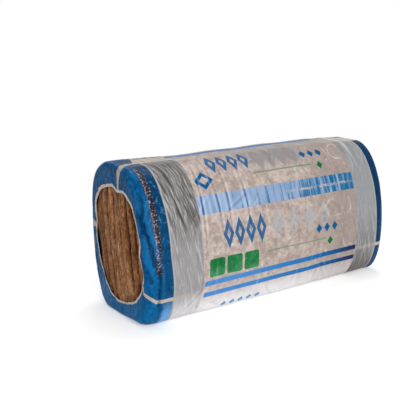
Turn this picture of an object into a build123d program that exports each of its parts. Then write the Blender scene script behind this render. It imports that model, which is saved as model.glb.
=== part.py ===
"""A pack of mineral wool boards that stand on their long edges inside one printed film sleeve.

The pack lies along X on the plane Z = 0. Its tops lean towards +Y, and the sleeve is open at both ends.
Lengths are in millimetres and angles in degrees.
"""
import os

from build123d import *

# Boards, as they lie side by side along Y
board_count = 9
board_length = 1250
board_height = 600
board_thickness = 50
joint_clearance = 0.3

# Section of the pressed stack: how high its two sides are widest, and how far they draw in above and below
front_belly_height = 210
back_belly_height = 345
front_top_inset = 200
front_bottom_inset = 86
back_top_inset = 150
back_bottom_inset = 122
end_radius = 20

# Joints between the boards: how far the outermost ones would stand in from the stack's sides at foot and head
joint_front_foot_inset = 10
joint_back_foot_inset = 112
joint_front_head_inset = 150
joint_back_head_inset = 38

# Film sleeve, and the flaps that it leaves round the oval opening at each end
film_wall = 1
film_clearance = 0.3
top_flap = 62
bottom_flap = 57
front_flap = 48
back_flap = 50
opening_lean = 26

# How far cutting shapes reach past what they cut
overrun = 20

quarter_turn = 90
stack_width = board_count * board_thickness + (board_count - 1) * joint_clearance
front_side = -stack_width / 2
back_side = stack_width / 2
stack_floor = film_wall + film_clearance
stack_top = stack_floor + board_height
opening_width = stack_width - front_flap - back_flap
opening_height = board_height - top_flap - bottom_flap
opening_centre = (
    front_side + front_flap + opening_width / 2,
    stack_floor + bottom_flap + opening_height / 2,
)


def stack_form(growth):
    """The pressed stack as one solid, with all its faces moved out by the growth."""
    front_belly = stack_floor + front_belly_height
    back_belly = stack_floor + back_belly_height
    with BuildPart() as form:
        with BuildSketch(Plane.YZ):
            with BuildLine():
                back_top = EllipticalCenterArc(
                    (back_side - back_top_inset, back_belly),
                    back_top_inset + growth,
                    stack_top - back_belly + growth,
                    arc_size=quarter_turn,
                )
                front_top = EllipticalCenterArc(
                    (front_side + front_top_inset, front_belly),
                    front_top_inset + growth,
                    stack_top - front_belly + growth,
                    quarter_turn,
                    arc_size=quarter_turn,
                )
                front_bottom = EllipticalCenterArc(
                    (front_side + front_bottom_inset, front_belly),
                    front_bottom_inset + growth,
                    front_belly_height + growth,
                    2 * quarter_turn,
                    arc_size=quarter_turn,
                )
                back_bottom = EllipticalCenterArc(
                    (back_side - back_bottom_inset, back_belly),
                    back_bottom_inset + growth,
                    back_belly_height + growth,
                    3 * quarter_turn,
                    arc_size=quarter_turn,
                )
                Line(back_top @ 1, front_top @ 0)
                Line(front_bottom @ 1, back_bottom @ 0)
            make_face()
        extrude(amount=board_length / 2 + growth, both=True)
        fillet(form.faces().filter_by(Axis.X).edges(), radius=end_radius + growth)
    return form.part


def joint_line(joint, shift):
    """The arc of one joint from foot to head, or a plain line beside the stack for its two outer faces."""
    foot = stack_floor - overrun
    head = stack_top + overrun
    if joint == 0:
        return Line((front_side - overrun, foot), (front_side - overrun, head))
    if joint == board_count:
        return Line((back_side + overrun, foot), (back_side + overrun, head))
    place_share = joint / board_count
    foot_width = stack_width - joint_front_foot_inset - joint_back_foot_inset
    head_width = stack_width - joint_front_head_inset - joint_back_head_inset
    return ThreePointArc(
        (front_side + joint_front_foot_inset + place_share * foot_width + shift, foot),
        (front_side + place_share * stack_width + shift, stack_floor + board_height / 2),
        (front_side + joint_front_head_inset + place_share * head_width + shift, head),
    )


os.makedirs("parts", exist_ok=True)

# Film sleeve: drawn tight over the sides and a little way over both ends
with BuildPart() as film_wrap:
    add(stack_form(film_clearance + film_wall))
    add(stack_form(film_clearance), mode=Mode.SUBTRACT)
    with BuildSketch(Plane.YZ):
        with Locations(opening_centre):
            Ellipse(opening_width / 2, opening_height / 2, rotation=-opening_lean)
    extrude(amount=board_length, both=True, mode=Mode.SUBTRACT)
film_wrap.part.label = "film_wrap"
export_step(film_wrap.part, "parts/film_wrap.step")

# Boards: slabs of the pressed stack between one joint and the next
stack = stack_form(0)
for place in range(board_count):
    with BuildPart() as board:
        add(stack)
        with BuildSketch(Plane.YZ):
            with BuildLine():
                near_joint = joint_line(place, joint_clearance / 2)
                far_joint = joint_line(place + 1, -joint_clearance / 2)
                Line(near_joint @ 0, far_joint @ 0)
                Line(near_joint @ 1, far_joint @ 1)
            make_face()
        extrude(amount=board_length, both=True, mode=Mode.INTERSECT)
    board_name = f"board_{place + 1:02d}"
    board.part.label = board_name
    export_step(board.part, f"parts/{board_name}.step")
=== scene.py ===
import math

import bmesh
import bpy
import numpy as np
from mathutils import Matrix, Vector


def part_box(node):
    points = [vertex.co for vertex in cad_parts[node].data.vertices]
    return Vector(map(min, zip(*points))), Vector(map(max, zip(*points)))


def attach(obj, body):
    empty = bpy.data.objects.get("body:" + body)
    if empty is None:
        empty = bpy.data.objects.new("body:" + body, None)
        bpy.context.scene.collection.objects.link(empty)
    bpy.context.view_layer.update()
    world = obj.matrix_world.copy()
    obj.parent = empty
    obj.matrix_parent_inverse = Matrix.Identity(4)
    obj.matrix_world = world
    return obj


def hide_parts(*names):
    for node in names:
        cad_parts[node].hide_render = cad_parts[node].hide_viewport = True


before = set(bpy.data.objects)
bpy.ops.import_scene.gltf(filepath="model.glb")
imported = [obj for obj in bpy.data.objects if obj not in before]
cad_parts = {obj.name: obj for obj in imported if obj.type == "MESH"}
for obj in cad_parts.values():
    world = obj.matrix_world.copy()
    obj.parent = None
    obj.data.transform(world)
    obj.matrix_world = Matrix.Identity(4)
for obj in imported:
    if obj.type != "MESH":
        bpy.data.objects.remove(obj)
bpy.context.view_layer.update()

# Mineral wool boards
# Slabs of brown matted fibres that stand on their long edges, face to face. Nothing but the film holds them:
# it presses the outer ones round, and where it is open the sawn ends swell until they are flush with its rim.
half_length, half_width, pack_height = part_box("film_wrap")[1]
front_belly, front_top_draw, front_bottom_draw = 0.2113, 0.2013, 0.0873
back_belly, back_top_draw, back_bottom_draw = 0.3463, 0.1513, 0.1233
near_droop, near_droop_from, near_droop_run = 0.005, 0.1, 0.5
far_droop, far_droop_from = 0.009, 0.40
film_room = 0.004
joint_foot_insets = (0.010, 0.112)
joint_head_insets = (0.150, 0.038)
joint_overrun = 0.019
joint_wander, joint_wave, joint_seed = 0.0055, 0.13, 40
opening_centre = (-0.001, 0.2995)
opening_half_size = (0.171, 0.233)
opening_power = 2.5
opening_lean = math.radians(21.4)
opening_least = 0.02
rim_dents = ((-55, 35, 0.018), (-175, 15, -0.019), (53, 10, 0.008), (18, 14, -0.008), (74, 50, -0.0122))
wool_rows, wool_columns = 190, 22
wool_rim_depth = 0.004
wool_swell, swell_range = 0.008, (0.7, 1.2)
wool_under_flaps = (0.5, 0.16)
wool_deepest = 0.09
flap_contact = 1.06
groove_depth, groove_width = 0.020, 0.0095
groove_shares = (0.6, 1.0, 2.4, 1.7, 0.5, 0.6, 1.0, 0.5, 0.4, 0.6)
gape_mean, gape_range, gape_wave, gape_seed = 0.75, 0.45, 0.11, 70
fold_depth, fold_width, fold_length = 0.0035, 0.017, 0.16
fold_lean, fold_start, fold_shade = 3, 0.15, 0.5
slit_place, slit_size, slit_depth = (0.182, 0.245), (0.024, 0.060), 0.009
wool_lumps = ((0.0016, 0.008, 0.038), (0.0012, 0.003, 0.022), (0.0010, 0.004, 0.006), (0.0020, 0.090, 0.110))
board_seed = 11


def bell(reach):
    """A smooth hump that is 1 in its middle."""
    return np.exp(-(reach**2))


def eased(share):
    """A share from 0 to 1 that starts and ends gently."""
    return share**2 * (3 - 2 * share)


def patchy(draw, across, along):
    """Smooth random values from -1 to 1, at places that are given in cells of the pattern."""
    table = draw.uniform(-1, 1, (97, 89))
    column, row = np.floor(across).astype(int), np.floor(along).astype(int)
    ease_across, ease_along = eased(across - column), eased(along - row)

    def knot(right, up):
        return table[(column + right) % table.shape[0], (row + up) % table.shape[1]]

    near = knot(0, 0) + (knot(1, 0) - knot(0, 0)) * ease_across
    far = knot(0, 1) + (knot(1, 1) - knot(0, 1)) * ease_across
    return near + (far - near) * ease_along


def drawn_in(height, belly, above, below):
    """How far the pack's side stands in from its widest line at a height."""
    over = height > belly
    reach = np.where(over, (height - belly) / (pack_height - belly), (belly - height) / belly)
    return np.where(over, above, below) * (1 - np.sqrt(np.clip(1 - reach**2, 0, 1)))


def front_side(height):
    return -half_width + drawn_in(height, front_belly, front_top_draw, front_bottom_draw)


def back_side(height):
    return half_width - drawn_in(height, back_belly, back_top_draw, back_bottom_draw)


def top_droop(along, height):
    """How far the top sinks towards the two ends."""
    toward_near = np.clip((near_droop_from - along) / near_droop_run, 0, 1)
    toward_far = np.clip((along - far_droop_from) / (half_length - far_droop_from), 0, 1)
    return (near_droop * toward_near + far_droop * toward_far) * (height / pack_height) ** 2


def joint_place(joint, height):
    """Where the joint of that number runs at a height: a bow through its foot, its waist and its head."""
    share = joint / board_count
    low, high = -joint_overrun, pack_height + joint_overrun
    rise = (height - low) / (high - low)
    foot, waist, head = (
        -half_width + front + share * (2 * half_width - front - back)
        for front, back in (joint_foot_insets, (0, 0), joint_head_insets)
    )
    bow = 2 * foot * (rise - 0.5) * (rise - 1) - 4 * waist * rise * (rise - 1)
    bow = bow + 2 * head * rise * (rise - 0.5)
    wavy = patchy(np.random.default_rng(joint + joint_seed), height / joint_wave, height * 0)
    return bow + joint_wander * wavy * (0 < joint < board_count)


def groove_open(joint, height):
    """How far the joint of that number gapes at a height."""
    uneven = patchy(np.random.default_rng(joint + gape_seed), height / gape_wave, height * 0)
    return groove_shares[joint] * (gape_mean + gape_range * uneven)


def opening_reach(across, height):
    """How far out a place on the end lies: 0 in the middle of the opening, and 1 on its rim."""
    side, up = across - opening_centre[0], height - opening_centre[1]
    short = (side * math.cos(opening_lean) - up * math.sin(opening_lean)) / opening_half_size[0]
    long = (side * math.sin(opening_lean) + up * math.cos(opening_lean)) / opening_half_size[1]
    powers = np.abs(short) ** opening_power + np.abs(long) ** opening_power
    even = np.maximum(powers ** (1 / opening_power), 1e-9)
    away, turn = np.hypot(side, up), np.degrees(np.arctan2(up, side))
    dent = 0
    for middle_turn, width, size in rim_dents:
        turned = (turn - middle_turn + 180) % 360 - 180
        dent = dent + size * bell(turned / width)
    return away / np.maximum(away / even + dent, opening_least)


def slit_share(across, height):
    """How near a place on the end is to the slit where wool and film part: 1 in the slit's middle."""
    beside, above = (across - slit_place[0]) / slit_size[0], (height - slit_place[1]) / slit_size[1]
    return np.exp(-(beside**2 + above**2))


def board_sides(place, height):
    """The two faces of the board in that place, held inside the film."""
    outline = middle + (height - middle) * tighter
    near = np.maximum(joint_place(place, height), front_side(outline) + film_room)
    far = np.minimum(joint_place(place + 1, height), back_side(outline) - film_room)
    return near, far


def colour(red, green, blue):
    """A colour as it is seen on a screen, from 0 to 255, in the shader's linear values."""
    shares = [channel / 255 for channel in (red, green, blue)]
    return tuple(s / 12.92 if s < 0.04045 else ((s + 0.055) / 1.055) ** 2.4 for s in shares) + (1,)


class Wire:
    """An output socket of a material's nodes. Python's operators on it add Math nodes."""

    def __init__(self, tree, socket=None):
        self.tree = tree
        self.socket = socket

    def node(self, kind, settings=None, values=None, out=0):
        """A new node of any kind, as the wire from one of its outputs."""
        made = self.tree.nodes.new(kind)
        for name, setting in (settings or {}).items():
            if name == "stops":
                ramp = made.color_ramp.elements
                for number, (place, shade) in enumerate(setting):
                    stop = ramp[number] if number < 2 else ramp.new(place)
                    stop.position, stop.color = place, shade
            else:
                setattr(made, name, setting)
        for name, value in (values or {}).items():
            if isinstance(value, Wire):
                self.tree.links.new(value.socket, made.inputs[name])
            else:
                made.inputs[name].default_value = value
        return Wire(self.tree, made.outputs[out]) if len(made.outputs) else made

    def other(self, out):
        """The wire from another output of the same node."""
        return Wire(self.tree, self.socket.node.outputs[out])

    def maths(self, operation, *values):
        return self.node("ShaderNodeMath", {"operation": operation}, dict(enumerate(values)))

    def __add__(self, value):
        return self.maths("ADD", self, value)

    __radd__ = __add__

    def __sub__(self, value):
        return self.maths("SUBTRACT", self, value)

    def __rsub__(self, value):
        return self.maths("SUBTRACT", value, self)

    def __mul__(self, value):
        return self.maths("MULTIPLY", self, value)

    __rmul__ = __mul__

    def __truediv__(self, value):
        return self.maths("DIVIDE", self, value)

    def __abs__(self):
        return self.maths("ABSOLUTE", self)

    def over(self, level, soft):
        """A mask that goes from 0 to 1 as the value passes a level."""
        return self.node(
            "ShaderNodeMapRange",
            {"interpolation_type": "SMOOTHSTEP"},
            {"Value": self, "From Min": level - soft, "From Max": level + soft},
        )

    def within(self, low, high, soft):
        """A mask that is 1 between two levels."""
        return self.over(low, soft) * (1 - self.over(high, soft))

    def blend(self, base, top, way="MIX"):
        """The colour base, covered by the colour top where this mask is 1."""
        settings = {"data_type": "RGBA", "blend_type": way}
        return self.node("ShaderNodeMix", settings, {0: self, 6: base, 7: top}, out=2)

    def noise(self, scales, detail=3, roughness=0.55, shift=0, ridged=False):
        """Cloudy values about 0.5, or thin ridges that pass 1, with so many cells to the metre."""
        scaled = self.node("ShaderNodeVectorMath", {"operation": "MULTIPLY"}, {0: self, 1: scales})
        moved = self.node("ShaderNodeVectorMath", {"operation": "ADD"}, {0: scaled, 1: (shift, shift, shift)})
        kind = "RIDGED_MULTIFRACTAL" if ridged else "FBM"
        values = {"Vector": moved, "Scale": 1, "Detail": detail, "Roughness": roughness}
        if ridged:
            values["Offset"] = 1
        return self.node("ShaderNodeTexNoise", {"noise_type": kind}, values)


def new_material(name):
    """An empty material, and the wire from which its nodes are made."""
    material = bpy.data.materials.new(name)
    material.use_nodes = True
    material.node_tree.nodes.clear()
    return material, Wire(material.node_tree)


def mapped(start, map_name):
    """The first value of a UV map. Its second one is the wire's other output, Y."""
    uv_map = start.node("ShaderNodeUVMap", {"uv_map": map_name})
    return start.node("ShaderNodeSeparateXYZ", None, {0: uv_map}, out="X")


def finish_material(start, values):
    """The shader that all of a material's wires end in."""
    shader = start.node("ShaderNodeBsdfPrincipled", None, values)
    start.node("ShaderNodeOutputMaterial", None, {"Surface": shader})


def dress(mesh, material):
    """Smooth shading and a finish for a mesh."""
    mesh.polygons.foreach_set("use_smooth", [True] * len(mesh.polygons))
    mesh.materials.append(material)


def placed(name, data):
    """A new object in the scene, made from a mesh, a lamp or a camera."""
    made = bpy.data.objects.new(name, data)
    bpy.context.collection.objects.link(made)
    return made


wool_dark = colour(64, 32, 12)
wool_brown = colour(142, 92, 54)
wool_light = colour(206, 158, 111)
wool_painted_hollow_shade = colour(128, 92, 66)
grain_lean = 0.17
wool_material, start = new_material("mineral_wool_fibre")
spot = start.node("ShaderNodeTexCoord", out="Object")
axes = start.node("ShaderNodeSeparateXYZ", None, {0: spot}, out="X")
sunk = mapped(start, "sunk")
leaned = axes.other("Y") - grain_lean * axes.other("Z")
grain_place = start.node("ShaderNodeCombineXYZ", None, {0: axes, 1: leaned, 2: axes.other("Z")})
streaks = grain_place.noise((40, 95, 17), detail=5, roughness=0.6)
layers = grain_place.noise((4, 30, 6), detail=3, shift=5)
tufts = spot.noise((110, 120, 62), detail=5, roughness=0.7)
fibres = grain_place.noise((300, 700, 160), detail=3, roughness=0.6)
tone = streaks * 0.5 + layers * 0.5 + tufts * 0.8 + fibres * 0.25 - 0.525
wool_stops = [(0.28, wool_dark), (0.73, wool_light), (0.5, wool_brown)]
wool_colour = start.node("ShaderNodeValToRGB", {"stops": wool_stops}, {0: tone})
# Painted shade: the wool's colour is darkened in the grooves between the boards and in the folds of their
# ends.
wool_colour = (sunk.over(0.55, 0.5) * 0.85).blend(wool_colour, wool_painted_hollow_shade, "MULTIPLY")
wool_relief = start.node(
    "ShaderNodeBump",
    None,
    {"Strength": 0.8, "Distance": 0.005, "Height": streaks * 0.45 + tufts * 1.1 + fibres * 0.3},
)
finish_material(
    start,
    {
        "Base Color": wool_colour,
        "Roughness": 0.95,
        "Specular IOR Level": 0.1,
        "Sheen Weight": 0.15,
        "Normal": wool_relief,
    },
)

board_names = sorted(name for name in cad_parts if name.startswith("board_"))
board_count = len(board_names)
heights_tried = np.linspace(film_room, pack_height - film_room, 1201)
middle = pack_height / 2
tighter = middle / (middle - film_room)
for place, name in enumerate(board_names):
    draw = np.random.default_rng(place + board_seed)
    near, far = board_sides(place, heights_tried)
    standing = heights_tried[far - near > film_room]
    height = np.linspace(standing[0], standing[-1], wool_rows)[:, None]
    near, far = board_sides(place, height)
    across = near + (far - near) * np.linspace(0, 1, wool_columns)
    height = np.broadcast_to(height, across.shape)
    reach = opening_reach(across, height)
    groove = groove_open(place, height) * np.exp((near - across) / groove_width)
    groove = groove + groove_open(place + 1, height) * np.exp((across - far) / groove_width)
    points, hollows = [], []
    for end, under_flap in zip((-1, 1), wool_under_flaps):
        depth = wool_rim_depth - wool_swell * np.clip(1 - reach**2, 0, 1) * draw.uniform(*swell_range)
        depth = depth + np.clip(under_flap * (reach - flap_contact), 0, wool_deepest)
        fold = patchy(draw, across / fold_width + fold_lean * height, height / fold_length)
        fold = np.clip(fold - fold_start, 0, 1)
        depth = depth + groove_depth * groove + fold_depth * fold
        depth = depth + slit_depth * slit_share(across, height)
        for size, lump_width, lump_height in wool_lumps:
            depth = depth + size * patchy(draw, across / lump_width, height / lump_height)
        settled = height - top_droop(end * half_length, height)
        points.append(np.stack([end * (half_length - depth), across, settled], axis=-1).reshape(-1, 3))
        hollows.append(np.clip(groove + fold_shade * fold, 0, 1).reshape(-1))
    grid = np.arange(across.size).reshape(across.shape)
    cells = np.stack([grid[:-1, :-1], grid[1:, :-1], grid[1:, 1:], grid[:-1, 1:]], axis=-1).reshape(-1, 4)
    rim = np.concatenate([grid[0, :-1], grid[:-1, -1], grid[-1, :0:-1], grid[:0:-1, 0]])
    walls = np.stack([rim, np.roll(rim, -1), np.roll(rim, -1) + grid.size, rim + grid.size], axis=-1)
    mesh = bpy.data.meshes.new(name + "_wool")
    faces = np.concatenate([cells, cells[:, ::-1] + grid.size, walls])
    mesh.from_pydata(np.concatenate(points).tolist(), [], faces.tolist())
    hollow = np.concatenate(hollows)[faces]
    sunk_map = np.stack([hollow, hollow], axis=-1)
    mesh.uv_layers.new(name="sunk").data.foreach_set("uv", sunk_map.astype(np.float32).ravel())
    shape = bmesh.new()
    shape.from_mesh(mesh)
    bmesh.ops.recalc_face_normals(shape, faces=shape.faces)
    shape.to_mesh(mesh)
    shape.free()
    dress(mesh, wool_material)
    board = placed(name + "_wool", mesh)
    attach(board, "root")
    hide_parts(name)

# Printed film sleeve
# One tube of thin milky polyethylene, shrunk tight over the boards and drawn a little way over both ends.
# It is printed in blue at the ends, with a grey band beside the blue, and bare film shows at the rims.
around_count = 340
edge_steps, flap_steps = 10, 14
fine_step, coarse_step, fine_from = 0.0041, 0.0068, 0.36
quarter_samples = 400


def outline_path():
    """The pack's section: a closed path from under its middle, up the front and down the back."""
    turn = np.linspace(0, math.pi / 2, quarter_samples)
    front_rise, back_rise = pack_height - front_belly, pack_height - back_belly
    front_foot, back_foot = -half_width + front_bottom_draw, half_width - back_bottom_draw
    front_head, back_head = -half_width + front_top_draw, half_width - back_top_draw
    middle_foot = (front_foot + back_foot) / 2
    quarters = (
        (front_foot - front_bottom_draw * np.sin(turn), front_belly * (1 - np.cos(turn))),
        (front_head - front_top_draw * np.cos(turn), front_belly + front_rise * np.sin(turn)),
        (back_head + back_top_draw * np.sin(turn), back_belly + back_rise * np.cos(turn)),
        (back_foot + back_bottom_draw * np.cos(turn), back_belly * (1 - np.sin(turn))),
    )
    across = np.concatenate([[middle_foot], *(quarter[0] for quarter in quarters), [middle_foot]])
    height = np.concatenate([[0], *(quarter[1] for quarter in quarters), [0]])
    length = np.concatenate([[0], np.cumsum(np.hypot(np.diff(across), np.diff(height)))])
    return across, height, length


path_across, path_height, path_length = outline_path()
girth = path_length[-1]
front_length = (path_length[2 * quarter_samples] + path_length[2 * quarter_samples + 1]) / 2
around = np.linspace(0, girth, around_count + 1)[:-1]
ring_across = np.interp(around, path_length, path_across)
ring_height = np.interp(around, path_length, path_height)
step_across = np.roll(ring_across, -1) - np.roll(ring_across, 1)
step_height = np.roll(ring_height, -1) - np.roll(ring_height, 1)
step_length = np.hypot(step_across, step_height)
out_across, out_height = -step_height / step_length, step_across / step_length


def round_at(height):
    """How far round the front of the film that height lies."""
    front = slice(0, 2 * quarter_samples)
    return float(np.interp(height, path_height[front], path_length[front]))


# The rim is the opening's edge with uneven waves, a notch in its top, and a shoulder in front of the notch.
notch_across, notch_depth, notch_widths = 0.000, 0.017, (0.045, 0.022)
shoulder_across, shoulder_rise, shoulder_width = -0.110, 0.010, 0.026
rim_waves = ((23, 0.012), (61, 0.007))
rim_share = 1 / opening_reach(ring_across, ring_height)
rim_draw = np.random.default_rng(3)
for waves, size in rim_waves:
    rim_share = rim_share * (1 + size * patchy(rim_draw, around / girth * waves, around * 0))
rim_across = opening_centre[0] + (ring_across - opening_centre[0]) * rim_share
rim_height = opening_centre[1] + (ring_height - opening_centre[1]) * rim_share
on_top = rim_height > opening_centre[1]
notch = bell((rim_across - notch_across) / np.where(rim_across < notch_across, *notch_widths)) * on_top
shoulder = bell((rim_across - shoulder_across) / shoulder_width) * on_top
rim_height = rim_height - notch_depth * notch + shoulder_rise * shoulder
end_room = np.hypot(rim_across - ring_across, rim_height - ring_height)

# Each end rounds off into its flap: the film stands back from the end by so much, at places round the film.
near_setbacks = (
    (0.00, 0.018), (0.20, 0.074), (0.37, 0.078), (0.62, 0.058), (0.80, 0.040),
    (0.89, 0.028), (1.10, 0.022), (1.40, 0.010), (1.66, 0.012),
)
far_setbacks = (
    (0.00, 0.016), (0.14, 0.020), (0.27, 0.038), (0.45, 0.040), (0.60, 0.027),
    (0.74, 0.013), (0.89, 0.011), (1.10, 0.012), (1.40, 0.012), (1.66, 0.014),
)
setback_passes = 60
inset_share, inset_least, inset_most = 0.5, 0.004, 0.72
corner_round, corner_width, corner_bunch = 1.08, 0.11, 0.018
corner_from, corner_run = -0.30, 0.28


def softened(setbacks):
    """The setbacks at all places round the film, with no sharp change between them."""
    setback = np.interp(around, *zip(*setbacks), period=girth)
    for pass_number in range(setback_passes):
        setback = (setback + np.roll(setback, 1) + np.roll(setback, -1)) / 3
    return setback


half_steps = [0]
while half_steps[-1] < half_length:
    half_steps.append(half_steps[-1] + (fine_step if half_steps[-1] > fine_from else coarse_step))
half_steps = np.array(half_steps) / half_steps[-1]
halves = []
for end, setback in ((-1, softened(near_setbacks)), (1, softened(far_setbacks))):
    depth_in = np.minimum(inset_share * setback + inset_least, inset_most * end_room)
    side_end = half_length - setback
    side = half_steps[:, None] * side_end
    turn = np.linspace(0, math.pi / 2, edge_steps + 1)[1:, None]
    edge = side_end + setback * np.sin(turn)
    share = np.linspace(0, 1, flap_steps + 1)[1:, None]
    edge_across, edge_height = ring_across - depth_in * out_across, ring_height - depth_in * out_height
    flap_across = edge_across + share * (rim_across - edge_across)
    flap_height = edge_height + share * (rim_height - edge_height)
    turned_in = depth_in * (1 - np.cos(turn))
    steps_along = np.vstack([side, edge, np.full(flap_across.shape, half_length)])
    steps_across = np.vstack([ring_across + side * 0, ring_across - turned_in * out_across, flap_across])
    steps_height = np.vstack([ring_height + side * 0, ring_height - turned_in * out_height, flap_height])
    points = np.stack([end * steps_along, steps_across, steps_height], axis=-1)
    travel = np.cumsum(np.linalg.norm(np.diff(points, axis=0), axis=-1), axis=0)
    travel = np.vstack([np.zeros(around_count), travel])
    from_rim = np.where(np.arange(len(points))[:, None] > len(half_steps), travel[-1] - travel, 1)
    flap = np.concatenate([np.zeros(len(side) + len(edge)), share[:, 0]])[:, None] + travel * 0
    halves.append((points, end * travel, from_rim, flap))
film, path_along, rim_distance, flap = (
    np.concatenate([near[:0:-1], far]) for near, far in zip(*halves)
)
bunch = eased(np.clip((corner_from - path_along) / corner_run, 0, 1)) * (1 - flap)
bunch = corner_bunch * bunch * bell((around - corner_round) / corner_width)
film = film + np.stack([bunch * 0, bunch * out_across, bunch * out_height], axis=-1)
film_across, film_height = film[..., 1], film[..., 2]
round_about = np.broadcast_to(around, film_across.shape)
outward = np.cross(np.gradient(film, axis=0), np.roll(film, -1, axis=1) - np.roll(film, 1, axis=1))
outward = outward / np.linalg.norm(outward, axis=-1, keepdims=True)

# Creases stand out from the film or sink into it. A zone gives their number, then the ranges of their places
# along and round the film, their lean in degrees and its spread, and the ranges of length, width and rise.
all_round, upper_round = (0, girth), (round_at(0.42), girth - 0.45)
crease_zones = (
    (46, (-0.70, -0.55), all_round, (92, 14), (0.030, 0.100), (0.005, 0.009), (0.0008, 0.0026)),
    (44, (-0.52, -0.37), all_round, (92, 7), (0.030, 0.090), (0.004, 0.007), (0.0004, 0.0011)),
    (54, (-0.52, -0.37), upper_round, (101, 5), (0.018, 0.048), (0.0036, 0.0050), (0.0008, 0.0022)),
    (60, (0.42, 0.70), all_round, (90, 12), (0.030, 0.090), (0.005, 0.009), (0.0003, 0.0009)),
    (150, (-0.42, 0.47), all_round, (90, 24), (0.030, 0.110), (0.005, 0.010), (0.0004, 0.0014)),
)
placed_creases = (
    (-0.358, 0.46, 88, 0.17, 0.005, -0.0036),
    (-0.287, 0.48, 93, 0.19, 0.005, -0.0034),
    (-0.237, 0.45, 90, 0.15, 0.005, -0.0030),
    (-0.150, 0.47, 92, 0.18, 0.005, -0.0030),
    (-0.605, 0.33, 102, 0.110, 0.008, -0.0120),
    (-0.640, 0.36, 98, 0.100, 0.009, 0.0045),
    (-0.574, 0.17, 90, 0.070, 0.008, -0.0090),
    (0.490, 0.602, 90, 0.10, 0.020, 0.0075),
)
crease_signs, crease_chances = (-1, 1), (0.4, 0.6)
trough_depth, trough_width = 0.45, 2.4
slack_waves = ((0.0018, 0.14, 13), (0.0008, 0.05, 37))
pleat_count, pleat_size, pleat_sway = 71, 0.0005, 2.5
sway_waves, strength_waves = 19, 17
pleat_from, pleat_run, pleat_power = 0.06, 0.11, 1.5
slit_lift = 0.003
bulge_least, bulge_most = -0.0028, 0.010
level_passes, fold_range = 14, 0.0048


def crest(place, turn, length, width):
    """A soft crest on the film, of height 1, that runs at an angle to the pack's length."""
    ahead = path_along - place[0]
    beside = (round_about - place[1] + girth / 2) % girth - girth / 2
    lengthwise = ahead * math.cos(turn) + beside * math.sin(turn)
    sideways = beside * math.cos(turn) - ahead * math.sin(turn)
    fade = np.exp(-((lengthwise / length) ** 4))
    return fade * (bell(sideways / width) - trough_depth * bell(sideways / (trough_width * width)))


crease_draw = np.random.default_rng(21)
bulge = np.zeros(film_across.shape)
for count, alongs, rounds, (lean, spread), lengths, widths, rises in crease_zones:
    for number in range(count):
        place = crease_draw.uniform(*alongs), crease_draw.uniform(*rounds)
        turn = math.radians(crease_draw.normal(lean, spread))
        length, width = crease_draw.uniform(*lengths), crease_draw.uniform(*widths)
        rise = crease_draw.uniform(*rises) * crease_draw.choice(crease_signs, p=crease_chances)
        bulge = bulge + rise * crest(place, turn, length, width)
for place, height, degrees, length, width, rise in placed_creases:
    bulge = bulge + rise * crest((place, round_at(height)), math.radians(degrees), length, width)
slack = np.random.default_rng(5)
turns_round = round_about / girth
for size, wave, waves_round in slack_waves:
    bulge = bulge + size * patchy(slack, path_along / wave, turns_round * waves_round)
sway = pleat_sway * patchy(slack, turns_round * sway_waves, flap * 0)
pleats = np.sin(turns_round * 2 * math.pi * pleat_count + sway)
pleats = pleats * (0.5 + 0.5 * patchy(slack, turns_round * strength_waves, flap * 0))
toward_rim = np.clip((np.abs(path_along) - half_length + pleat_from) / pleat_run, 0, 1) ** pleat_power
bulge = bulge + pleat_size * pleats * toward_rim
bulge = bulge + slit_lift * slit_share(film_across, film_height) * flap**2
bulge = np.clip(bulge, bulge_least, bulge_most)
film = film + outward * bulge[..., None]
film[..., 2] = np.maximum(film[..., 2] - top_droop(film[..., 0], film[..., 2]), 0)
level_bulge = bulge
for pass_number in range(level_passes):
    before = np.vstack([level_bulge[:1], level_bulge[:-1]])
    after = np.vstack([level_bulge[1:], level_bulge[-1:]])
    above, below = np.roll(level_bulge, 1, axis=1), np.roll(level_bulge, -1, axis=1)
    level_bulge = (level_bulge + (before + after) + above + below) / 5
fold_level = np.clip(0.5 + (bulge - level_bulge) / fold_range, 0, 1)

row_count = len(film)
grid = np.arange(row_count * around_count).reshape(row_count, around_count)
next_round = np.roll(grid, -1, axis=1)
quads = np.stack([grid[:-1], grid[1:], next_round[1:], next_round[:-1]], axis=-1).reshape(-1, 4)
film_mesh = bpy.data.meshes.new("printed_sleeve")
film_mesh.from_pydata(film.reshape(-1, 3).tolist(), [], quads.tolist())
closed_round = np.append(around, girth)
back_share = front_length / (girth - front_length)
folded = np.where(closed_round < front_length, closed_round, (girth - closed_round) * back_share)
for map_name, first, second in (
    ("print", path_along, folded),
    ("rim", rim_distance, closed_round),
    ("fold", fold_level, closed_round),
):
    first = np.hstack([first, first[:, :1]])
    places = np.stack([first, np.broadcast_to(second, first.shape)], axis=-1)
    corners = np.stack([places[:-1, :-1], places[1:, :-1], places[1:, 1:], places[:-1, 1:]], axis=2)
    film_mesh.uv_layers.new(name=map_name).data.foreach_set("uv", corners.astype(np.float32).ravel())

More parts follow.
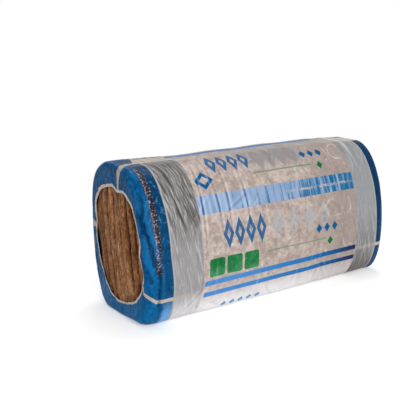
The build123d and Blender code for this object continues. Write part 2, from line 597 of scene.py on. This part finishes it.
# The print's colours, with the colours of painted light and shade among them, and its places: along the film
# from its middle, and up its front from under the middle.
milky = colour(184, 170, 162)
milky_brown = colour(148, 133, 125)
painted_pale_light = colour(236, 234, 235)
milky_stain = colour(120, 110, 104)
milky_painted_far_shade = colour(138, 126, 120)
milky_crease = colour(208, 194, 182)
milky_painted_top_shade = colour(126, 128, 132)
milky_line = colour(162, 160, 156)
milky_gap = colour(184, 168, 156)
milky_top_gap = colour(184, 170, 160)
milky_rim = colour(206, 193, 182)
print_grey = colour(120, 117, 115)
grey_painted_shade = colour(70, 66, 64)
grey_painted_light = colour(182, 181, 184)
grey_painted_far_light = colour(156, 160, 164)
print_blue = colour(0, 83, 132)
blue_deep_and_painted_shade = colour(0, 44, 80)
blue_painted_light = colour(14, 112, 172)
blue_dark_mottle = colour(14, 40, 54)
blue_painted_glint = colour(96, 156, 190)
blue_painted_low_reflection = colour(122, 178, 230)
blue_painted_far_low_shade = colour(16, 32, 92)
band_painted_reflection = colour(146, 166, 190)
band_blue = colour(0, 96, 138)
band_painted_trough_shade = colour(10, 72, 130)
stripe_pale = colour(84, 144, 198)
stripe_painted_sheen = colour(68, 130, 192)
stripe_blue = colour(4, 98, 160)
stripe_painted_far_shade = colour(16, 34, 76)
print_green = colour(8, 100, 48)
print_green_light = colour(60, 130, 84)
rule_green = colour(96, 128, 92)
ghost_grey = colour(160, 160, 164)
ghost_grey_dark = colour(130, 128, 128)
speck_tan = colour(172, 144, 128)
speck_dark = colour(38, 31, 36)
trough_shade = colour(112, 112, 126)
painted_inner_shade = colour(24, 28, 32)
blue_left, grey_left, grey_right, blue_right = -0.519, -0.380, 0.4475, 0.569
pale_line_width = 0.0065
band_low, band_high = round_at(0.415), round_at(0.484)
stripe_low, stripe_high, stripe_half, stripe_climb = round_at(0.0985), round_at(0.1465), 0.0108, 0.011
top_stripe_low, top_stripe_high, top_stripe_right = front_length + 0.016, front_length + 0.044, 0.410
gap_left, gap_right, gap_back, gap_half = round_at(0.113), round_at(0.142), girth - round_at(0.345), 0.0080
motif_left, motif_count, motif_step = -0.282, 4, 0.054
motif_rows = (
    (round_at(0.328), (0.025, 0.060), 0.086, (0.037, 0.060), ghost_grey),
    (round_at(0.585), (0.025, 0.050), 0.060, (0.037, 0.066), ghost_grey_dark),
)
ghost_left, ghost_count = -0.050, 4
small_rows = (round_at(0.272), round_at(0.575))
small_left, small_count, small_step, small_size = 0.196, 3, 0.046, (0.017, 0.020)
green_left, green_step, green_drop, green_size = 0.265, 0.040, 0.062, (0.016, 0.019)
lone_left, lone_step, lone_centre, lone_size = -0.372, 0.100, round_at(0.535), (0.044, 0.038)
low_left, low_count, low_step, low_centre, low_size = -0.278, 5, 0.0436, round_at(0.026), (0.015, 0.017)
tile_left, tile_count, tile_step = -0.357, 3, 0.084
tile_centre, tile_half, tile_round = round_at(0.204), 0.037, 0.010
rule_rows = ((0.222, 0.227, -0.064, 0.262), (0.533, 0.538, -0.075, 0.240))
speck_left, speck_middle, speck_right = -0.586, -0.578, -0.563
speck_low, speck_high, speck_step = round_at(0.222), round_at(0.598), 0.0165

film_material, start = new_material("printed_polyethylene")
spot = start.node("ShaderNodeTexCoord", out="Object")
print_map = start.node("ShaderNodeUVMap", {"uv_map": "print"})
along = start.node("ShaderNodeSeparateXYZ", None, {0: print_map}, out="X")
upward = along.other("Y")
from_rim = mapped(start, "rim")
round_film = from_rim.other("Y")
fold = mapped(start, "fold")
slanted = start.node("ShaderNodeCombineXYZ", None, {0: along + upward * 0.20, 1: upward, 2: 0.0})

clouds = spot.noise((13, 13, 13), detail=5, roughness=0.6)
mottle = spot.noise((46, 46, 46), detail=4, roughness=0.62, shift=3)
crumple = spot.noise((95, 95, 60), detail=5, roughness=0.66, shift=17)
crinkle = spot.noise((30, 30, 22), detail=4, roughness=0.5, shift=9, ridged=True)
soft_creases = spot.noise((15, 15, 11), detail=2, roughness=0.4, shift=31, ridged=True)
streaks = print_map.noise((60, 3, 1), detail=5, roughness=0.62)
fine_streaks = print_map.noise((300, 14, 1), detail=3, roughness=0.6, shift=7)
specks = print_map.noise((125, 150, 1), detail=2, roughness=0.6, shift=13)
gathers = slanted.noise((105, 6, 1), detail=4, roughness=0.62, shift=2)
creased = slanted.noise((42, 5, 1), detail=2, roughness=0.5, shift=21, ridged=True)
lower = 1 - upward.over(round_at(0.075), 0.075)
upper = upward.over(round_at(0.34), 0.10)
far_half = along.over(0, 0.1)
near_half = 1 - far_half
toward_far = along.over(0.22, 0.18)
far_end = along.over(0.4, 0.1)
in_trough = 1 - fold.over(0.40, 0.20)
on_crest = fold.over(0.66, 0.14)

# Bare milky film, stained and creased, with painted highlights on its crinkles, painted shade towards the far
# end and along the top, and a painted reflection that makes it paler low down
paper = clouds * 0.4 + mottle * 0.8 + streaks * 0.1 + crumple * 0.25 - 0.27
paper = paper.over(0.5, 0.17).blend(milky_brown, milky)
# Painted highlights: thin pale lines along the film's crinkles.
paper = (crinkle.over(1.52, 0.16) * mottle.over(0.50, 0.10) * 0.26).blend(paper, painted_pale_light)
paper = (toward_far * mottle.over(0.60, 0.12) * 0.5).blend(paper, milky_stain)
# Painted shade: the bare film darkens towards the far end.
paper = (toward_far * 0.52).blend(paper, milky_painted_far_shade)
pale_creases = soft_creases.over(1.24, 0.16) * clouds.over(0.48, 0.10) * along.over(0.12, 0.16)
paper = (pale_creases * 0.50).blend(paper, milky_crease)
# Painted shade: a grey wash along the top of the front, over its middle.
top_painted_shade = upward.over(round_at(0.555), 0.03) * along.within(-0.10, 0.22, 0.05)
paper = (top_painted_shade * 0.45).blend(paper, milky_painted_top_shade)
# Painted reflection: the bare film is paler low down, most towards the near end.
paper = (lower * (1 - along.over(0.26, 0.18) * 0.45)).blend(paper, painted_pale_light)

# Long streaked band of blue ink, with a worn line along its far half; its pale near part is a painted
# reflection, and its crease troughs have painted shade
band_cover = (streaks + along * 0.34 + fine_streaks * 0.25).over(0.71, 0.08)
# Painted reflection: the band's pale colour shows where the blue ink thins out towards the near end.
band_tone = (mottle.over(0.5, 0.2) * 0.4).blend(band_painted_reflection, stripe_pale)
band_tone = (mottle.over(0.57, 0.10) * 0.40).blend(band_tone, milky)
band_tone = (band_cover * 0.97).blend(band_tone, band_blue)
# Painted shade: the band is darker in the troughs of its creases.
band_tone = (in_trough * 0.85).blend(band_tone, band_painted_trough_shade)
worn_line = 1 - abs(upward - (band_low + band_high) / 2 + 0.003).over(0.0055, 0.0025)
worn_line = worn_line * along.within(0.06, 0.43, 0.03) * mottle.over(0.50, 0.10)
band_tone = (worn_line * 0.75).blend(band_tone, milky)
band = upward.within(band_low, band_high, 0.0015) * along.within(grey_left, grey_right, 0.002)
ink = band.blend(paper, band_tone)

# Two stripes low on the front, and one on top
# Painted light: the low stripes are lighter towards the near end, and painted shade darkens them towards the
# far end.
stripe_tone = along.over(0.02, 0.28).blend(stripe_painted_sheen, stripe_blue)
stripe_tone = along.over(0.33, 0.13).blend(stripe_tone, stripe_painted_far_shade)
climbing = upward - along * stripe_climb
stripes = climbing.within(stripe_low - stripe_half, stripe_low + stripe_half, 0.001)
stripes = stripes + climbing.within(stripe_high - stripe_half, stripe_high + stripe_half, 0.001)
ink = (stripes * along.within(grey_left + 0.008, grey_right - 0.001, 0.002)).blend(ink, stripe_tone)
top_stripe = round_film.within(top_stripe_low, top_stripe_high, 0.001)
ink = (top_stripe * along.within(grey_left - 0.02, top_stripe_right, 0.002)).blend(ink, stripe_blue)


def diamonds(first, count, step, centre, size):
    """How far places lie from the middle of the nearest diamond in a row: 1 on its border."""
    beside = along.maths("FLOORED_MODULO", along - first, step) - step / 2
    inside = along.within(first, first + count * step, 0.0005)
    return (abs(beside) / size[0] + abs(upward - centre) / size[1]) + (1 - inside) * 2


# Rows of diamonds, rounded tiles and thin rules
for centre, size, ghost_step, ghost_size, ghost_tone in motif_rows:
    reach = diamonds(motif_left, motif_count, motif_step, centre, size)
    ink = (reach.within(0.36, 1, 0.05) * (0.86 + mottle * 0.14)).blend(ink, print_blue)
    reach = diamonds(ghost_left, ghost_count, ghost_step, centre, ghost_size)
    ink = ((1 - reach.over(1, 0.12)) * mottle.over(0.42, 0.14) * 0.8).blend(ink, ghost_tone)
reach = diamonds(lone_left, 1, lone_step, lone_centre, lone_size)
ink = reach.within(0.5, 1, 0.05).blend(ink, print_blue)
reach = diamonds(low_left, low_count, low_step, low_centre, low_size)
ink = (1 - reach.over(1, 0.06)).blend(ink, stripe_pale)
for centre in small_rows:
    reach = diamonds(small_left, small_count, small_step, centre, small_size)
    ink = (1 - reach.over(1, 0.08)).blend(ink, print_blue)
    reach = diamonds(green_left, 1, green_step, centre - green_drop, green_size)
    ink = (1 - reach.over(1, 0.08)).blend(ink, print_green)
tile_beside = abs(along.maths("FLOORED_MODULO", along - tile_left, tile_step) - tile_step / 2)
tile_out = along.maths("MAXIMUM", tile_beside - tile_half + tile_round, 0)
tile_up = along.maths("MAXIMUM", abs(upward - tile_centre) - tile_half + tile_round, 0)
tile_reach = along.maths("SQRT", tile_out * tile_out + tile_up * tile_up)
tiles = 1 - tile_reach.over(tile_round, 0.0008)
tiles = tiles * along.within(tile_left, tile_left + tile_count * tile_step, 0.0005)
tile_tone = (mottle + (tile_centre - upward) * 3).over(0.55, 0.25).blend(print_green, print_green_light)
ink = tiles.blend(ink, tile_tone)
for rule_low, rule_high, rule_left, rule_right in rule_rows:
    rule = upward.within(round_at(rule_low), round_at(rule_high), 0.001)
    rule = rule * along.within(rule_left, rule_right, 0.002)
    ink = (rule * (0.4 + mottle * 0.8)).blend(ink, rule_green)

# Grey bands, gathered and streaked, with painted shade in the gathers, folds and the far band's foot, and
# painted light on the streaks, low on the near band and high on the far band
# Painted shade in the gathers, with painted light lifting the lower part.
grey_tone = (gathers + (1 - upper) * 0.22).over(0.42, 0.12).blend(grey_painted_shade, print_grey)
grey_tone = far_half.blend(grey_tone, print_grey)
# Painted highlights along the streaks.
grey_tone = ((fine_streaks + gathers).over(1.12, 0.12) * 0.85).blend(grey_tone, grey_painted_light)
# Painted shade in the tight folds of the near band's upper part.
tight_folds = creased.over(1.30, 0.18) * upper * near_half * 0.6
grey_tone = tight_folds.blend(grey_tone, grey_painted_shade)
# Painted light: the near band is lighter low down, and its foot is a painted reflection near white.
grey_tone = ((1 - upper) * near_half * 0.30).blend(grey_tone, grey_painted_light)
# Painted light: the far band is lighter above its lowest part.
grey_tone = (far_half * upward.over(round_at(0.2), 0.15) * 0.6).blend(grey_tone, grey_painted_far_light)
grey_tone = (lower * near_half * 0.8).blend(grey_tone, painted_pale_light)
# Painted shade: the far band darkens at its foot.
grey_tone = (lower * far_half * 0.4).blend(grey_tone, grey_painted_shade)
grey = 1 - along.within(grey_left, grey_right, 0.0015)
ink = grey.blend(ink, grey_tone)

# Blue ends, each with a pale line between it and the grey. The blue has painted highlights on its crinkles,
# painted reflection low on the near end, and painted shade past the near edge, at the far end and low on the
# far end
low_tilt = (1 - upward.over(round_at(0.22), 0.10)) * near_half * 0.012
tilted = along - low_tilt
beyond_grey = 1 - tilted.within(blue_left + 0.001, blue_right - 0.001, 0.003)
ink = beyond_grey.blend(ink, milky_line)
blue = 1 - tilted.within(blue_left - pale_line_width, blue_right + pale_line_width, 0.0012)
blue_tone = clouds * 0.35 + mottle * 0.4 + gathers * 0.35 + crumple * 0.6 - 0.35
blue_tone = blue_tone.over(0.48, 0.14).blend(blue_deep_and_painted_shade, print_blue)
# Painted highlights: lighter blue on the crinkles, and painted light a little lighter on the near end's flap.
blue_tone = ((crinkle * 0.5 + crumple).over(1.25, 0.22) * 0.7).blend(blue_tone, blue_painted_light)
blue_tone = ((1 - along.over(-0.59, 0.02)) * 0.15).blend(blue_tone, blue_painted_light)
# Painted shade: the upper blue beyond the near end's edge is darker.
blue_tone = (along.over(-0.57, 0.01) * upper * 0.55).blend(blue_tone, blue_deep_and_painted_shade)
# Darker mottled patches on the blue just past the near edge, above its lowest part.
dark_mottles = along.within(-0.572, -0.45, 0.006) * (1 - lower)
dark_mottles = dark_mottles * (mottle * 0.5 + crumple * 0.6).over(0.60, 0.08)
blue_tone = (dark_mottles * 0.55).blend(blue_tone, blue_dark_mottle)
# Painted highlights: pale glints on the upper blue near the near edge.
painted_glints = along.within(-0.60, -0.45, 0.010) * upper * (crinkle * 0.4 + crumple).over(1.10, 0.12)
blue_tone = (painted_glints * 0.26).blend(blue_tone, blue_painted_glint)
# Painted shade: the far end's blue is darker.
blue_tone = (far_end * 0.7).blend(blue_tone, blue_deep_and_painted_shade)
# Painted reflection: the blue is lighter low down, with a pale patch low on the near side.
blue_tone = (lower * 0.5).blend(blue_tone, blue_painted_light)
low_painted_reflection = lower * (along + crumple * 0.05 - upward * 0.06).within(-0.541, 0, 0.012)
blue_tone = (low_painted_reflection * 0.9).blend(blue_tone, blue_painted_low_reflection)
# Painted shade: the far end's blue is darker low down.
blue_tone = (lower * far_end * 0.8).blend(blue_tone, blue_painted_far_low_shade)
ink = blue.blend(ink, blue_tone)

# Strip of specks along the near edge
speck_strip = along.within(speck_left, speck_right, 0.0015)
speck_strip = speck_strip * upward.over(speck_low, 0.004) * (1 - upward.over(speck_high, 0.004))
speck_side = along.over(speck_middle, 0.005)
speck_tone = (specks + speck_side * 0.09).over(0.48, 0.05).blend(speck_tan, speck_dark)
speck_bars = along.maths("FLOORED_MODULO", upward + along * 0.5 + specks * 0.012, speck_step)
speck_bars = speck_bars.within(0.002, 0.0135, 0.001)
ink = (speck_strip * (speck_bars * 0.36 + 0.58)).blend(ink, speck_tone)

# Unprinted gaps across the ends: one low on the front, one on the back, and a wider one on top
gap_place = far_half * (gap_right - gap_left) + gap_left
gap_place = gap_place + along.maths("MAXIMUM", -0.585 - along, 0) * 0.62
gaps = 1 - abs(upward - gap_place).over(gap_half, 0.0012)
gaps = gaps * (1 - round_film.over(front_length, 0.01))
gaps = gaps + 1 - abs(round_film - gap_back).over(gap_half + 0.006, 0.0012)
ink = (gaps * (grey * 0.35 + blue * 0.65)).blend(ink, milky_gap)
at_far_end = along.over(0.3, 0.1)
on_near_flap = 1 - along.over(-0.605, 0.02)
past_top = round_film - front_length + on_near_flap * 0.022
flare = along.over(-0.650, 0.025) * (1 - along.over(-0.575, 0.02)) * 0.012
top_gap = (past_top + at_far_end * 0.045 + flare).over(-0.020, 0.0012)
wider = at_far_end * 0.037 + (1 - at_far_end) * along.over(-0.535, 0.012) * 0.05
top_gap = top_gap * (1 - (past_top - wider).over(-0.004, 0.0012))
ink = (top_gap * grey).blend(ink, milky_top_gap)

# Bare rim, painted shade in the crease troughs, painted highlights on their crests, and painted shade on the
# inner side
rim_edge = 1 - (from_rim + mottle * 0.016 - upper * 0.003).over(0.0162, 0.0015)
ink = rim_edge.blend(ink, milky_rim)
# Painted shade: the print is darkened in the troughs of the creases.
trough_shade_share = 0.34 - band * 0.20 + grey * 0.30
ink = (in_trough * trough_shade_share).blend(ink, trough_shade, "MULTIPLY")
# Painted highlights: the print is lighter on the crests of the creases.
crest_painted_highlight = blue.blend(painted_pale_light, blue_painted_light)
ink = (on_crest * 0.30).blend(ink, crest_painted_highlight)
# Painted shade: the film's inner side is dark where it shows.
inner_side = start.node("ShaderNodeNewGeometry", out="Backfacing")
ink = inner_side.blend(ink, painted_inner_shade)

film_shine = mottle * 0.16 + fine_streaks * 0.10 + 0.18
film_ridges = crumple * 0.5 + mottle * 0.8 + crinkle * 0.5 + gathers * 0.5 + fine_streaks * 0.2
film_relief = start.node("ShaderNodeBump", None, {"Strength": 0.85, "Distance": 0.002, "Height": film_ridges})
finish_material(
    start,
    {
        "Base Color": ink,
        "Roughness": film_shine,
        "Specular IOR Level": 0.03,
        "Coat Weight": 0.05,
        "Coat Roughness": 0.1,
        "Normal": film_relief,
    },
)
dress(film_mesh, film_material)
sleeve = placed("printed_sleeve", film_mesh)
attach(sleeve, "root")
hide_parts("film_wrap")

# Studio floor
# A wide pale sheet under the pack. It keeps the pack's shadow, and fades to plain white away from it.
floor_half, floor_drop = 40, 0.0005
floor_pale, floor_lift = (0.9, 0.9, 0.9, 1), (0.32, 0.32, 0.32, 1)
fade_middle, fade_half = 1.9, 1.1
plain_white = (1, 1, 1, 1)


def seen_straight(start):
    """A mask that is 1 for what the camera sees, also in gloss or through glass, and 0 for lighting."""
    rays = start.node("ShaderNodeLightPath", out="Is Camera Ray")
    shown = rays.maths("MAXIMUM", rays, rays.other("Is Glossy Ray"))
    return rays.maths("MAXIMUM", shown, rays.other("Is Transmission Ray"))


floor_mesh = bpy.data.meshes.new("studio_floor")
floor_corners = [(x * floor_half, y * floor_half, 0) for x, y in ((-1, -1), (1, -1), (1, 1), (-1, 1))]
floor_mesh.from_pydata(floor_corners, [], [(0, 1, 2, 3)])
floor = placed("studio_floor", floor_mesh)
floor.location.z = -floor_drop
floor_material, start = new_material("studio_floor")
spot = start.node("ShaderNodeTexCoord", out="Object")
distance = start.node("ShaderNodeVectorMath", {"operation": "LENGTH"}, {0: spot}, out="Value")
seen = seen_straight(start)
sheet_shader = start.node("ShaderNodeBsdfDiffuse", None, {"Color": floor_pale})
lift_shader = start.node("ShaderNodeEmission", None, {"Color": floor_lift, "Strength": 1})
white_shader = start.node("ShaderNodeEmission", None, {"Color": plain_white, "Strength": 1})
lifted_shader = start.node("ShaderNodeAddShader", None, {0: sheet_shader, 1: lift_shader})
near_shader = start.node("ShaderNodeMixShader", None, {0: seen, 1: sheet_shader, 2: lifted_shader})
far_off = distance.over(fade_middle, fade_half)
floor_shader = start.node("ShaderNodeMixShader", None, {0: seen * far_off, 1: near_shader, 2: white_shader})
start.node("ShaderNodeOutputMaterial", None, {"Surface": floor_shader})
floor_mesh.materials.append(floor_material)

# Studio light
# A white room that lights the pack from all round, with one large soft box in front and one above.
scene = bpy.context.scene
room_light = 0.5
lamp_aim = Vector((0, 0, 0.3))
soft_boxes = (
    ("front_box", 105, 2.6, (-1.0, -3.5, 1.5)),
    ("top_box", 45, 2.0, (0.6, 0.8, 3.4)),
)
world = bpy.data.worlds.new("studio")
scene.world = world
world.use_nodes = True
world.node_tree.nodes.clear()
start = Wire(world.node_tree)
dim_room = start.node("ShaderNodeBackground", None, {"Color": plain_white, "Strength": room_light})
white_room = start.node("ShaderNodeBackground", None, {"Color": plain_white, "Strength": 1})
room = start.node("ShaderNodeMixShader", None, {0: seen_straight(start), 1: dim_room, 2: white_room})
start.node("ShaderNodeOutputWorld", None, {"Surface": room})
for light_name, power, size, place in soft_boxes:
    lamp = bpy.data.lights.new(light_name, "AREA")
    lamp.energy, lamp.size = power, size
    box = placed(light_name, lamp)
    box.location = place
    box.rotation_euler = (lamp_aim - Vector(place)).to_track_quat("-Z", "Y").to_euler()

# Camera
# It stands before the pack's near corner, a little above it, so that the open end and a long side both show.
view_length_pixels, frame_pixels = 714.1, 400
view_pitch, view_yaw = math.radians(13.733), math.radians(34.338)
view_place = (-1.854, -2.3575, 1.1134)
view = bpy.data.cameras.new("view")
view.sensor_width = 36
view.lens = view_length_pixels / frame_pixels * view.sensor_width
camera = placed("view", view)
camera.location = view_place
level = math.cos(view_pitch)
ahead = Vector((level * math.sin(view_yaw), level * math.cos(view_yaw), -math.sin(view_pitch)))
camera.rotation_euler = ahead.to_track_quat("-Z", "Y").to_euler()
scene.camera = camera
scene.view_settings.view_transform = "Standard"
